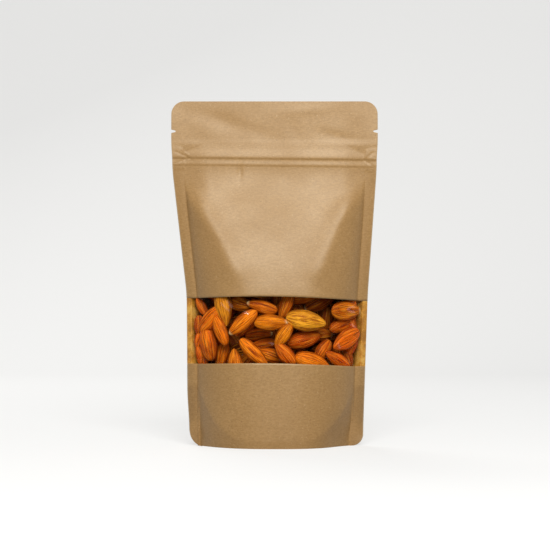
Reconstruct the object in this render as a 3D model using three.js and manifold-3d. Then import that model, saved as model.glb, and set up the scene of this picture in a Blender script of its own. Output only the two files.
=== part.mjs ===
// A filled kraft stand-up pouch with a clear window band, a zip and a round-bottom gusset.
// Millimetres, X to the right, the front towards -Y, Z up, standing on z = 0.
import * as THREE from "three";
import { mergeVertices } from "three/addons/utils/BufferGeometryUtils.js";
import Module from "manifold-3d";

const wasm = await Module();
wasm.setup();

// The flat pouch
const POUCH_WIDTH = 120;
const POUCH_HEIGHT = 200;
const SIDE_SEAL = 6;
const TOP_CORNER = 7.5;
const BOTTOM_CORNER = 6.5;
const KRAFT = 0.25;
const FILM = 0.2;
const CLEARANCE = 0.3;

// How far the front and the back stand out when the pouch is filled
const BASE_DEPTH = 24.3;
const FILL_DEPTH = 19.8;
const FILL_HEIGHT = 88;
const FLAT_AT_BASE = 5;
const FLAT_AT_FILL = 14;
const WAIST_LEAN = 1.6;
const BASE_LEAN = 0.4;
const BEND = 5;

// The zip, its two strips and the straight ramp at its ends
const ZIP_HEIGHT = 167;
const ZIP_STRIP = 12;
const ZIP_WEB = 0.4;
const ZIP_DEPTH = 3.1;
const ZIP_RAMP = 4;
const HEADER_RAMP = 5;
const RAIL = 0.5;
const RAIL_REACH = 1.7;
const BULB_WIDTH = 1.7;
const BULB_THICKNESS = 0.6;
const STEM = 0.6;
const ZIP_PLAY = 0.25;

// The tear notches
const NOTCH_HEIGHT = 182.5;
const NOTCH_DEPTH = 2.6;
const NOTCH_MOUTH = 1.7;
const NOTCH_TIP = 0.35;

// The window band, measured at the middle of the front
const WINDOW_BOTTOM = 48.7;
const WINDOW_TOP = 86.1;
const WINDOW_ARCH = 2.2;
const WINDOW_TILT = 0.85;
const FILM_LAP = 5;
const FILM_RECESS = 0.15;

// The round-bottom gusset
const SEAL_LOW = 4;
const SEAL_HIGH = 35;
const FOLD_HIGH = 38;
const GUSSET_END = 1.6;
const GUSSET_GAP = 0.15;
const FLOOR_PATCH = 8;
const FLOOR_LENGTH = 40;

// The heap of nuts that can't be told apart
const HEAP_TOP = 88;
const HEAP_STEP = 36;
const HEAP_SHELL = 4;
const NUT_CLEARANCE = 0.12;
const HEAP_REACH = 34;
const HEAP_MESH = 8;
const HEAP_NUT = { length: 20, width: 10.5 };
const HEAP_PITCH = { across: 14, up: 10.5 };

// An almond: its thickness for each millimetre of width, and how far its tip narrows
const THICKNESS = 0.74;
const TIP_TAPER = 0.38;

// The nuts seen through the window, in three ranks: how far right of the middle and above the
// middle of the window, the tip's direction in degrees from the right, the length and the width
const NUTS_IN_FRONT = [
  { right: -39, up: 7.5, tip: 45, length: 19, width: 9 },
  { right: -27.5, up: 15, tip: -80, length: 21, width: 10 },
  { right: -2, up: 5.5, tip: 0, length: 18.5, width: 9.5 },
  { right: 17.5, up: 6.5, tip: -10, length: 21.5, width: 12 },
  { right: 37, up: 12, tip: 0, length: 18, width: 11 },
  { right: -17.5, up: 5.5, tip: -140, length: 19, width: 9 },
  { right: 5, up: -2, tip: -125, length: 15, width: 8 },
  { right: 38, up: -4.5, tip: -155, length: 19, width: 11 },
  { right: 6, up: -12.5, tip: 130, length: 16, width: 9 },
  { right: 21, up: -17.5, tip: -20, length: 20, width: 11 },
  { right: 33, up: -16.5, tip: 150, length: 16, width: 8 },
  { right: -42, up: -12.5, tip: 95, length: 15, width: 8 },
  { right: -34.5, up: -5.5, tip: 105, length: 20, width: 10 },
  { right: -29, up: 1.5, tip: 115, length: 17.5, width: 7.5 },
  { right: -21.5, up: -19.5, tip: 95, length: 18, width: 9.5 },
  { right: -11.5, up: -12, tip: -45, length: 21, width: 8.5 },
];
const NUTS_BEHIND = [
  { right: -44, up: 9, tip: -140, length: 16, width: 9.5 },
  { right: -21.5, up: 17, tip: 165, length: 18, width: 9 },
  { right: -7, up: 14.5, tip: 165, length: 17, width: 8 },
  { right: 6.5, up: 15.5, tip: -110, length: 17, width: 8.5 },
  { right: 16, up: 21.5, tip: 15, length: 19, width: 11 },
  { right: 39, up: 4.5, tip: 20, length: 17, width: 8 },
  { right: -16.5, up: 2.5, tip: -135, length: 16, width: 9 },
  { right: -9, up: -2, tip: 5, length: 15, width: 8 },
  { right: -5.5, up: -7.5, tip: 10, length: 15, width: 8 },
  { right: 16.5, up: -4.5, tip: 15, length: 18.5, width: 10.5 },
  { right: 26, up: -11.5, tip: -125, length: 14, width: 8 },
  { right: 40, up: -19.5, tip: 165, length: 15, width: 9 },
  { right: -44, up: -3, tip: 85, length: 13, width: 8 },
  { right: -28, up: -12.5, tip: 75, length: 16, width: 8 },
  { right: -2, up: -14, tip: 160, length: 16, width: 9 },
];
const NUTS_DEEP = [
  { right: 24, up: 16.5, tip: -155, length: 17, width: 9 },
  { right: 43, up: 13, tip: 105, length: 17, width: 9.5 },
  { right: -1, up: -1.5, tip: 100, length: 16, width: 8.5 },
  { right: 24, up: -2, tip: 0, length: 16, width: 8.5 },
  { right: 43, up: -11.5, tip: -10, length: 14, width: 8 },
  { right: 36, up: -12, tip: 85, length: 15, width: 8 },
  { right: -36, up: -19, tip: 15, length: 16, width: 9 },
  { right: -15, up: -16, tip: 45, length: 15, width: 8 },
  { right: 28, up: 8, tip: 85, length: 15, width: 8 },
  { right: -43, up: 18, tip: 60, length: 14, width: 8 },
  { right: -8, up: 21, tip: -5, length: 17, width: 8.5 },
  { right: 2, up: 20.5, tip: 95, length: 15, width: 8 },
  { right: -33, up: 20, tip: -15, length: 17, width: 9 },
];

// How finely the sheets are divided
const SHEET_COLUMNS = 24;
const SEAL_SHARE = 0.88;
const LAP_END = 0.97;
const LAP_START = 0.92;

const clamp = (value, low, high) => Math.min(Math.max(value, low), high);
const mix = (a, b, share) => a + (b - a) * share;

// A value read from a list of [height, value] pairs, straight between them
function along(keys, z) {
  if (z <= keys[0][0]) return keys[0][1];
  for (let i = 1; i < keys.length; i++) {
    const [z0, a] = keys[i - 1];
    const [z1, b] = keys[i];
    if (z <= z1) return mix(a, b, (z - z0) / (z1 - z0));
  }
  return keys[keys.length - 1][1];
}

// The same with its corners rounded over BEND millimetres
function softly(keys, z) {
  const shifts = [-1, -0.5, 0, 0.5, 1];
  const sum = shifts.reduce((total, shift) => total + along(keys, z + shift * BEND), 0);
  return sum / shifts.length;
}

const sheetHalf = POUCH_WIDTH / 2 - SIDE_SEAL;
const zipBottom = ZIP_HEIGHT - ZIP_STRIP / 2;
const zipTop = ZIP_HEIGHT + ZIP_STRIP / 2;

const bulgeKeys = [
  [0, BASE_DEPTH - KRAFT],
  [FILL_HEIGHT, FILL_DEPTH - KRAFT],
  [zipBottom - 1, ZIP_DEPTH / 2 + CLEARANCE],
  [zipTop + BEND, ZIP_DEPTH / 2 + CLEARANCE],
  [zipTop + BEND + HEADER_RAMP, 0],
];
const flatKeys = [
  [0, FLAT_AT_BASE],
  [FILL_HEIGHT, FLAT_AT_FILL],
  [zipBottom - 1, sheetHalf - ZIP_RAMP],
];
const leanKeys = [
  [0, BASE_LEAN],
  [FILL_HEIGHT, WAIST_LEAN],
  [zipBottom, 0],
];

// The angle of an arc of the given length whose rise is the given height
function arcAngle(length, rise) {
  let low = 0;
  let high = Math.PI / 2;
  for (let step = 0; step < 40; step++) {
    const angle = (low + high) / 2;
    if ((1 - Math.cos(angle)) / angle < rise / length) low = angle;
    else high = angle;
  }
  return low;
}

// The pouch's cross-section at a height: a flat middle, an arc on each side and the flat seals.
// The laminate doesn't stretch, so the more it bulges, the narrower the pouch gets.
const sections = new Map();
function sectionAt(z) {
  const known = sections.get(z);
  if (known) return known;
  const bulge = Math.max(softly(bulgeKeys, z), 0);
  const flat = softly(flatKeys, z);
  const arc = sheetHalf - flat;
  const angle = arcAngle(arc, bulge);
  const radius = angle > 1e-3 ? arc / angle : 0;
  const reach = radius ? flat + radius * Math.sin(angle) : sheetHalf;
  let edge = reach + SIDE_SEAL;
  const intoTop = z - (POUCH_HEIGHT - TOP_CORNER);
  const intoBottom = BOTTOM_CORNER - z;
  if (intoTop > 0) edge -= TOP_CORNER - Math.sqrt(Math.max(TOP_CORNER ** 2 - intoTop ** 2, 0));
  if (intoBottom > 0) {
    edge -= BOTTOM_CORNER - Math.sqrt(Math.max(BOTTOM_CORNER ** 2 - intoBottom ** 2, 0));
  }
  const section = { bulge, flat, radius, reach, edge, middle: softly(leanKeys, z) };
  sections.set(z, section);
  return section;
}

// How far the outer face stands from the middle plane
function outerDepth(x, z) {
  const { bulge, flat, radius, reach, middle } = sectionAt(z);
  const across = Math.abs(x - middle);
  if (!radius || across >= reach) return KRAFT;
  const past = Math.max(across - flat, 0);
  return KRAFT + Math.max(bulge - radius + Math.sqrt(Math.max(radius ** 2 - past ** 2, 0)), 0);
}

// How much further a sheet reaches along Y than square to its own face
function slant(x, z) {
  const step = 0.4;
  const dx = (outerDepth(x + step, z) - outerDepth(x - step, z)) / (2 * step);
  const dz = (outerDepth(x, z + step) - outerDepth(x, z - step)) / (2 * step);
  return Math.sqrt(1 + dx * dx + dz * dz);
}

const kraftInner = (x, z) => Math.max(outerDepth(x, z) - KRAFT * slant(x, z), 0);
const filmOuter = (x, z) => Math.max(kraftInner(x, z) - FILM_RECESS * slant(x, z), FILM);
const filmInner = (x, z) => Math.max(filmOuter(x, z) - FILM * slant(x, z), 0);

// The place across the pouch: 0 is the middle, SEAL_SHARE the seal's inner line, 1 the cut edge
function acrossAt(share, z) {
  const { reach, edge, middle } = sectionAt(z);
  const sealLine = Math.min(reach, edge - 0.5);
  const size = Math.abs(share);
  const out = size <= SEAL_SHARE
    ? (sealLine * size) / SEAL_SHARE
    : mix(sealLine, edge, (size - SEAL_SHARE) / (1 - SEAL_SHARE));
  return middle + Math.sign(share) * out;
}

// Shares across the pouch, closer together towards the seals
function columns(count, extra = []) {
  const list = [-1, 1, ...extra, ...extra.map((share) => -share)];
  const sweep = 0.48 * Math.PI;
  for (let i = 0; i <= count; i++) {
    list.push((SEAL_SHARE * Math.sin(sweep * mix(-1, 1, i / count))) / Math.sin(sweep));
  }
  return list.sort((a, b) => a - b).filter((share, i, all) => !i || share - all[i - 1] > 1e-4);
}

// Heights from low to high, with closer rows where a corner is rounded
function heights(low, high, spacing) {
  const list = [];
  const corner = 5;
  const bodyLow = low === 0 ? BOTTOM_CORNER : low;
  const bodyHigh = high === POUCH_HEIGHT ? POUCH_HEIGHT - TOP_CORNER : high;
  for (let i = 0; i < corner && low === 0; i++) {
    list.push(BOTTOM_CORNER * (1 - Math.cos((Math.PI / 2) * (i / corner))));
  }
  const count = Math.max(Math.round((bodyHigh - bodyLow) / spacing), 1);
  for (let i = 0; i <= count; i++) list.push(mix(bodyLow, bodyHigh, i / count));
  for (let i = 1; i <= corner && high === POUCH_HEIGHT; i++) {
    list.push(bodyHigh + TOP_CORNER * Math.sin((Math.PI / 2) * (i / corner)));
  }
  return list;
}

// A closed solid between two grids of points that face each other, rows by columns
function between(one, other) {
  const rows = one.length;
  const cols = one[0].length;
  const positions = [...one.flat(), ...other.flat()].flat();
  const first = (i, j) => i * cols + j;
  const second = (i, j) => rows * cols + i * cols + j;
  const faces = [];
  const quad = (a, b, c, d) => faces.push(a, b, c, a, c, d);
  for (let i = 0; i + 1 < rows; i++) {
    for (let j = 0; j + 1 < cols; j++) {
      quad(first(i, j), first(i, j + 1), first(i + 1, j + 1), first(i + 1, j));
      quad(second(i, j), second(i + 1, j), second(i + 1, j + 1), second(i, j + 1));
    }
    quad(first(i, 0), first(i + 1, 0), second(i + 1, 0), second(i, 0));
    quad(first(i + 1, cols - 1), first(i, cols - 1), second(i, cols - 1), second(i + 1, cols - 1));
  }
  for (let j = 0; j + 1 < cols; j++) {
    quad(first(0, j + 1), first(0, j), second(0, j), second(0, j + 1));
    quad(first(rows - 1, j), first(rows - 1, j + 1), second(rows - 1, j + 1), second(rows - 1, j));
  }
  return facingOut(positions, faces);
}

// A geometry from points and triangles, turned so that its faces point out
function facingOut(positions, faces) {
  let volume = 0;
  const corner = (k) => new THREE.Vector3(...positions.slice(3 * k, 3 * k + 3));
  for (let k = 0; k < faces.length; k += 3) {
    const [a, b, c] = [corner(faces[k]), corner(faces[k + 1]), corner(faces[k + 2])];
    volume += a.dot(b.cross(c));
  }
  const turned = [];
  for (let k = 0; k < faces.length; k += 3) {
    turned.push(faces[k], ...(volume > 0 ? [faces[k + 1], faces[k + 2]] : [faces[k + 2], faces[k + 1]]));
  }
  const geometry = new THREE.BufferGeometry();
  geometry.setAttribute("position", new THREE.Float32BufferAttribute(positions, 3));
  geometry.setIndex(turned);
  return geometry;
}

// Joining and cutting
function solidOf(geometry) {
  const bare = geometry.clone();
  bare.deleteAttribute("normal");
  bare.deleteAttribute("uv");
  const merged = mergeVertices(bare, 1e-4);
  return new wasm.Manifold(
    new wasm.Mesh({
      numProp: 3,
      vertProperties: new Float32Array(merged.attributes.position.array),
      triVerts: new Uint32Array(merged.index.array),
    }),
  );
}

function geometryOf(solid) {
  const { vertProperties, triVerts } = solid.getMesh();
  const geometry = new THREE.BufferGeometry();
  geometry.setAttribute("position", new THREE.BufferAttribute(new Float32Array(vertProperties), 3));
  geometry.setIndex(new THREE.BufferAttribute(new Uint32Array(triVerts), 1));
  return geometry;
}

// A sheet of the front (side -1) or the back (side 1), between two edges that may curve
function panel({ side, shares, rows, edgeLow, edgeHigh, outer, inner }) {
  const outside = [];
  const inside = [];
  for (const row of rows) {
    const lineOut = [];
    const lineIn = [];
    for (const share of shares) {
      const z = mix(edgeLow(share), edgeHigh(share), row);
      const x = acrossAt(share, z);
      lineOut.push([x, side * outer(x, z), z]);
      lineIn.push([x, side * inner(x, z), z]);
    }
    outside.push(lineOut);
    inside.push(lineIn);
  }
  return between(outside, inside);
}

const asRows = (list) => list.map((z) => (z - list[0]) / (list[list.length - 1] - list[0]));

// The window's edges: they arch over the bulge and droop a little to the right
const windowEdge = (middle) => (share) =>
  middle - WINDOW_ARCH * Math.min(Math.abs(share) / SEAL_SHARE, 1) ** 2 - WINDOW_TILT * share;
const windowLow = windowEdge(WINDOW_BOTTOM);
const windowHigh = windowEdge(WINDOW_TOP);
const floor = () => 0;
const top = () => POUCH_HEIGHT;
const kraftSheet = { outer: outerDepth, inner: kraftInner };

// How far the film reaches behind the kraft: not at all in the seals, where the edges meet
function lapAt(share) {
  const size = Math.abs(share) / SEAL_SHARE;
  return mix(FILM_LAP, -FILM_RECESS, clamp((size - LAP_START) / (LAP_END - LAP_START), 0, 1));
}

function notchCutters() {
  const reach = NOTCH_DEPTH + NOTCH_TIP;
  return [-1, 1].map((side) => {
    const { edge, middle } = sectionAt(NOTCH_HEIGHT);
    const mouth = middle + side * edge;
    const tip = mouth - side * (NOTCH_DEPTH - NOTCH_TIP);
    const shape = new THREE.Shape();
    shape.moveTo(mouth + side * reach, -NOTCH_MOUTH);
    shape.lineTo(tip, -NOTCH_TIP);
    shape.absarc(tip, 0, NOTCH_TIP, -Math.PI / 2, Math.PI / 2, side > 0);
    shape.lineTo(mouth + side * reach, NOTCH_MOUTH);
    const cutter = new THREE.ExtrudeGeometry(shape, { depth: 4, bevelEnabled: false, curveSegments: 5 });
    cutter.rotateX(Math.PI / 2).translate(0, 2, NOTCH_HEIGHT);
    return solidOf(cutter);
  });
}

function notched(geometry) {
  return geometryOf(notchCutters().reduce((solid, cutter) => solid.subtract(cutter), solidOf(geometry)));
}

function frontUpperPanel() {
  const rows = asRows(heights(WINDOW_TOP, POUCH_HEIGHT, 7));
  const shares = columns(SHEET_COLUMNS);
  return notched(
    panel({ ...kraftSheet, side: -1, shares, rows, edgeLow: windowHigh, edgeHigh: top }),
  );
}

function frontLowerPanel() {
  const rows = asRows(heights(0, WINDOW_BOTTOM, 8));
  const shares = columns(SHEET_COLUMNS);
  return panel({ ...kraftSheet, side: -1, shares, rows, edgeLow: floor, edgeHigh: windowLow });
}

function windowFilm() {
  const shares = columns(SHEET_COLUMNS, [SEAL_SHARE * LAP_START, SEAL_SHARE * LAP_END]);
  return panel({
    side: -1,
    shares,
    rows: asRows(heights(WINDOW_BOTTOM - FILM_LAP, WINDOW_TOP + FILM_LAP, 8)),
    edgeLow: (share) => windowLow(share) - lapAt(share),
    edgeHigh: (share) => windowHigh(share) + lapAt(share),
    outer: filmOuter,
    inner: filmInner,
  });
}

function backPanel() {
  const rows = asRows(heights(0, POUCH_HEIGHT, 8));
  const shares = columns(SHEET_COLUMNS);
  return notched(
    panel({ ...kraftSheet, side: 1, shares, rows, edgeLow: floor, edgeHigh: top }),
  );
}

// The gusset: skirts sealed against the panels, up to the curved seal line, and the floor between
const wallShare = (u, z) => {
  const { reach, middle } = sectionAt(z);
  return middle + u * (reach - GUSSET_END);
};
const sealHeight = (u) => mix(SEAL_LOW, SEAL_HIGH, Math.abs(u) ** 4);
const foldStart = FLOOR_LENGTH / POUCH_WIDTH;
const foldHeight = (u) => FOLD_HIGH * clamp((Math.abs(u) - foldStart) / (1 - foldStart), 0, 1) ** 2;
const skirtDepth = (x, z) => kraftInner(x, z) - GUSSET_GAP * slant(x, z);

function bottomGusset() {
  const stations = 20;
  const skirtRows = 4;
  const floorRows = 10;
  const upper = [];
  const lower = [];
  for (let k = 0; k <= stations; k++) {
    const u = Math.sin((Math.PI / 2) * ((2 * k) / stations - 1));
    const seal = sealHeight(u);
    const fold = foldHeight(u);
    const lineUp = [];
    const lineLow = [];
    const sealX = wallShare(u, seal);
    const sealY = skirtDepth(sealX, seal);
    const sealInner = sealY - KRAFT * slant(sealX, seal);
    const patch = Math.min(FLOOR_PATCH, 0.4 * sealInner);
    for (const side of [-1, 1]) {
      const skirtUp = [];
      const skirtLow = [];
      for (let i = 0; i <= skirtRows; i++) {
        const z = (seal * i) / skirtRows;
        const zLow = ((seal - KRAFT) * i) / skirtRows;
        const x = wallShare(u, z);
        const xLow = wallShare(u, zLow);
        skirtUp.push([x, side * skirtDepth(x, z), z]);
        skirtLow.push([xLow, side * (skirtDepth(xLow, zLow) - KRAFT * slant(xLow, zLow)), zLow]);
      }
      if (side > 0) {
        for (let i = 1; i < floorRows; i++) {
          const y = mix(-1, 1, i / floorRows);
          const rise = clamp((Math.abs(y) * sealInner - patch) / (sealInner - patch), 0, 1) ** 2;
          const under = mix(fold, seal - KRAFT, rise);
          const x = wallShare(u, seal);
          lineUp.push([x, y * sealY, under + KRAFT]);
          lineLow.push([x, y * sealInner, under]);
        }
        skirtUp.reverse();
        skirtLow.reverse();
      }
      lineUp.push(...skirtUp);
      lineLow.push(...skirtLow);
    }
    upper.push(lineUp);
    lower.push(lineLow);
  }
  return between(upper, lower);
}

// The zip: two strips pressed into each other across the inside of the pouch. Sections are drawn
// with the depth along the first axis and the height along the second.
function alongWidth(outline) {
  const { reach, middle } = sectionAt(ZIP_HEIGHT);
  const half = Math.min(reach, sheetHalf - ZIP_RAMP) - CLEARANCE;
  const shape = new THREE.Shape(outline.map(([depth, height]) => new THREE.Vector2(depth, height)));
  const geometry = new THREE.ExtrudeGeometry(shape, { depth: 2 * half, bevelEnabled: false });
  geometry.rotateX(Math.PI / 2).rotateZ(Math.PI / 2);
  return geometry.translate(middle - half, 0, ZIP_HEIGHT);
}

const webOut = ZIP_DEPTH / 2 - ZIP_PLAY / 2;
const webIn = webOut - ZIP_WEB;
const railGap = BULB_WIDTH / 2 + ZIP_PLAY;

// The front strip has two hooked rails that hold the bulb
function zipperTrackFront() {
  const half = ZIP_STRIP / 2;
  const railEnd = -webIn + RAIL_REACH;
  const lip = railGap - STEM / 2 - ZIP_PLAY;
  return alongWidth([
    [-webOut, -half],
    [-webIn, -half],
    [-webIn, -railGap - RAIL],
    [railEnd, -railGap - RAIL],
    [railEnd, -railGap + lip],
    [railEnd - RAIL, -railGap + lip],
    [railEnd - RAIL, -railGap],
    [-webIn, -railGap],
    [-webIn, railGap],
    [railEnd - RAIL, railGap],
    [railEnd - RAIL, railGap - lip],
    [railEnd, railGap - lip],
    [railEnd, railGap + RAIL],
    [-webIn, railGap + RAIL],
    [-webIn, half],
    [-webOut, half],
  ]);
}

// The back strip has the bulb on its stem
function zipperTrackBack() {
  const half = ZIP_STRIP / 2;
  const bulbBack = -webIn + RAIL_REACH - RAIL - ZIP_PLAY;
  const bulbFront = bulbBack - BULB_THICKNESS;
  return alongWidth([
    [webOut, -half],
    [webOut, half],
    [webIn, half],
    [webIn, STEM / 2],
    [bulbBack, STEM / 2],
    [bulbBack, BULB_WIDTH / 2],
    [bulbFront, BULB_WIDTH / 4],
    [bulbFront, -BULB_WIDTH / 4],
    [bulbBack, -BULB_WIDTH / 2],
    [bulbBack, -STEM / 2],
    [webIn, -STEM / 2],
    [webIn, -half],
  ]);
}

// An almond lying along X with its flat side to the front, and the ellipsoid that holds it
function almondGeometry({ length, width }, around, steps) {
  const profile = [];
  for (let i = 0; i <= steps; i++) {
    const s = -Math.cos((Math.PI * i) / steps);
    const narrowing = 1 - TIP_TAPER * Math.max(s, 0) ** 1.5;
    const radius = (width / 2) * Math.sqrt(Math.max(1 - s * s, 0)) * narrowing;
    profile.push(new THREE.Vector2(radius, (s * length) / 2));
  }
  profile[0].x = 0;
  profile[steps].x = 0;
  const geometry = new THREE.LatheGeometry(profile, around);
  return geometry.rotateZ(-Math.PI / 2).scale(1, THICKNESS, 1);
}

class Nut {
  constructor({ right, up, tip, length, width, roll = 0, base }) {
    this.size = { length, width };
    this.z = base + up;
    this.x = right;
    this.y = 0;
    this.tip = THREE.MathUtils.degToRad(tip);
    this.roll = THREE.MathUtils.degToRad(roll);
    this.turn();
  }

  // The nut's flat side lies along the film where it is
  turn() {
    const step = 1;
    const slope = (filmInner(this.x + step, this.z) - filmInner(this.x - step, this.z)) / (2 * step);
    const yaw = -Math.atan(slope);
    this.rotation = new THREE.Quaternion()
      .setFromAxisAngle(new THREE.Vector3(0, 0, 1), yaw)
      .multiply(new THREE.Quaternion().setFromAxisAngle(new THREE.Vector3(0, 1, 0), -this.tip))
      .multiply(new THREE.Quaternion().setFromAxisAngle(new THREE.Vector3(1, 0, 0), this.roll));
    const { length, width } = this.size;
    const half = [length / 2, (THICKNESS * width) / 2, width / 2];
    const axes = [new THREE.Vector3(1, 0, 0), new THREE.Vector3(0, 1, 0), new THREE.Vector3(0, 0, 1)];
    axes.forEach((axis) => axis.applyQuaternion(this.rotation));
    const product = (a, b, power) =>
      axes.reduce((sum, axis, i) => sum + axis[a] * axis[b] * half[i] ** power, 0);
    this.form = {
      xx: product("x", "x", -2),
      yy: product("y", "y", -2),
      zz: product("z", "z", -2),
      xy: product("x", "y", -2),
      yz: product("y", "z", -2),
      xz: product("x", "z", -2),
    };
    this.halfX = Math.sqrt(product("x", "x", 2));
    this.halfY = Math.sqrt(product("y", "y", 2));
    this.halfZ = Math.sqrt(product("z", "z", 2));
  }

  // Where a line along Y goes into the nut and comes out, for a nut whose middle is at y = 0
  span(x, z) {
    const dx = x - this.x;
    const dz = z - this.z;
    const { xx, yy, zz, xy, yz, xz } = this.form;
    const b = xy * dx + yz * dz;
    const c = xx * dx * dx + 2 * xz * dx * dz + zz * dz * dz - 1;
    const inside = b * b - yy * c;
    if (inside < 0) return null;
    const root = Math.sqrt(inside);
    return [(-b - root) / yy, (-b + root) / yy];
  }

  // Whether its shadow's box meets the box about a place
  isNear(x, z, halfX, halfZ) {
    return Math.abs(this.x - x) < this.halfX + halfX && Math.abs(this.z - z) < this.halfZ + halfZ;
  }

  // Samples of the nut's shadow on the front
  *shadow() {
    const steps = 18;
    for (let i = 0; i <= steps; i++) {
      for (let j = 0; j <= steps; j++) {
        const x = this.x + this.halfX * ((2 * i) / steps - 1);
        const z = this.z + this.halfZ * ((2 * j) / steps - 1);
        const span = this.span(x, z);
        if (span) yield { x, z, span };
      }
    }
  }

  // Pushed back until it clears the film and every nut already placed
  settle(placed) {
    let y = -Infinity;
    const near = placed.filter((nut) => nut.isNear(this.x, this.z, this.halfX, this.halfZ));
    for (const { x, z, span } of this.shadow()) {
      y = Math.max(y, CLEARANCE - filmInner(x, z) - span[0]);
      for (const nut of near) {
        const other = nut.span(x, z);
        if (other) y = Math.max(y, nut.y + other[1] + NUT_CLEARANCE - span[0]);
      }
    }
    this.y = y;
  }

  fitsWithin(margin) {
    for (const { x, z, span } of this.shadow()) {
      if (this.y + span[1] + margin > kraftInner(x, z)) return false;
    }
    return true;
  }

  // Where the pouch is too narrow for it, the nut slides towards the middle
  place(placed) {
    for (let slide = 0; slide < 40; slide++) {
      this.settle(placed);
      const heap = Math.abs(this.x) - this.halfX < HEAP_REACH ? HEAP_SHELL : 0;
      if (this.fitsWithin(2 * CLEARANCE + heap)) break;
      this.x -= Math.sign(this.x) * 0.5;
      this.turn();
    }
    placed.push(this);
  }
}

const placed = [];
const windowMiddle = (WINDOW_BOTTOM + WINDOW_TOP - WINDOW_ARCH) / 2;
const fromTheMiddle = (a, b) => Math.abs(a.x) - Math.abs(b.x);
const seen = [NUTS_IN_FRONT, NUTS_BEHIND, NUTS_DEEP].flatMap((rank) =>
  rank.map((nut) => new Nut({ ...nut, base: windowMiddle })).sort(fromTheMiddle),
);
seen.forEach((nut) => nut.place(placed));

// The heap's front stays behind every nut near a place
function behindTheNuts(x, z, around) {
  return placed
    .filter((nut) => nut.isNear(x, z, around, around))
    .reduce((y, nut) => Math.max(y, nut.y + nut.halfY + CLEARANCE), 0);
}

// The nuts behind and below, in one heap: a body with staggered rows of nuts half sunk in it.
// Below HEAP_STEP the body fills the pouch from front to back, and above it lies behind the nuts seen.
function almondHeap() {
  const lowest = (u) => Math.max(sealHeight(u), foldHeight(u)) + KRAFT + CLEARANCE;
  const wallAt = (x, z) => skirtDepth(x, z) - (KRAFT + CLEARANCE) * slant(x, z);
  const columnCount = Math.round((2 * HEAP_REACH) / HEAP_MESH);
  const lowerRows = 3;
  const upperRows = Math.ceil((HEAP_TOP - HEAP_STEP) / HEAP_MESH);
  const ledge = 0.05;
  const gussetHalf = sectionAt(0).reach - GUSSET_END;
  const front = [];
  const back = [];
  for (let row = -lowerRows; row <= upperRows; row++) {
    const lineFront = [];
    const lineBack = [];
    for (let k = 0; k <= columnCount; k++) {
      const u = mix(-1, 1, k / columnCount);
      const low = lowest((Math.abs(u) * HEAP_REACH + HEAP_MESH / 2) / gussetHalf);
      const z = row < 0
        ? mix(low, HEAP_STEP - ledge, (row + lowerRows) / (lowerRows - 1))
        : mix(HEAP_STEP, HEAP_TOP, row / upperRows);
      const x = sectionAt(z).middle + u * HEAP_REACH;
      const wall = wallAt(x, z);
      lineFront.push([x, row < 0 ? -wall : Math.min(behindTheNuts(x, z, HEAP_MESH), wall - 1), z]);
      lineBack.push([x, wall, z]);
    }
    front.push(lineFront);
    back.push(lineBack);
  }
  let heap = solidOf(between(front, back));
  const rowsOfNuts = Math.floor((HEAP_TOP - HEAP_STEP) / HEAP_PITCH.up);
  const nutsAcross = Math.floor(HEAP_REACH / HEAP_PITCH.across);
  for (let row = 0; row < rowsOfNuts; row++) {
    for (let k = -nutsAcross; k <= nutsAcross; k++) {
      const right = (k + (row % 2) / 2) * HEAP_PITCH.across;
      const up = HEAP_STEP + (row + 0.5) * HEAP_PITCH.up;
      const nut = new Nut({ right, up, tip: 25 + 97 * row + 61 * k, roll: 30 * k, ...HEAP_NUT, base: 0 });
      nut.settle(placed);
      nut.y = Math.max(nut.y, behindTheNuts(right, up, HEAP_MESH));
      if (nut.fitsWithin(2 * CLEARANCE)) heap = heap.add(solidOf(nutGeometry(nut, 6, 5)));
    }
  }
  return geometryOf(heap);
}

function nutGeometry(nut, around, steps) {
  const geometry = almondGeometry(nut.size, around, steps);
  return geometry.applyQuaternion(nut.rotation).translate(nut.x, nut.y, nut.z);
}

const finish = {
  kraft: { color: 0xb68c60, roughness: 0.8, metalness: 0 },
  film: { color: 0xf2f0ea, roughness: 0.12, metalness: 0, transparent: true, opacity: 0.3 },
  strip: { color: 0xe9e6df, roughness: 0.35, metalness: 0 },
  almond: { color: 0xa9652c, roughness: 0.6, metalness: 0 },
};

function part(name, geometry, look) {
  geometry.computeVertexNormals();
  const mesh = new THREE.Mesh(geometry, new THREE.MeshStandardMaterial(look));
  mesh.name = name;
  return mesh;
}

const group = new THREE.Group();
group.add(
  part("front_upper_panel", frontUpperPanel(), finish.kraft),
  part("front_lower_panel", frontLowerPanel(), finish.kraft),
  part("window_film", windowFilm(), finish.film),
  part("back_panel", backPanel(), finish.kraft),
  part("bottom_gusset", bottomGusset(), finish.kraft),
  part("zipper_track_front", zipperTrackFront(), finish.strip),
  part("zipper_track_back", zipperTrackBack(), finish.strip),
  part("almond_heap", almondHeap(), finish.almond),
);
seen.forEach((nut, i) => {
  const name = "almond_" + String(i + 1).padStart(2, "0");
  const mesh = part(name, almondGeometry(nut.size, 8, 6), finish.almond);
  mesh.position.set(nut.x, nut.y, nut.z);
  mesh.quaternion.copy(nut.rotation);
  group.add(mesh);
});

export default group;
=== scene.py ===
"""A filled kraft stand-up pouch with a clear window band: the finished surfaces."""
import math

import bmesh
import bpy
import numpy as np
from mathutils import Matrix, Vector


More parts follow.
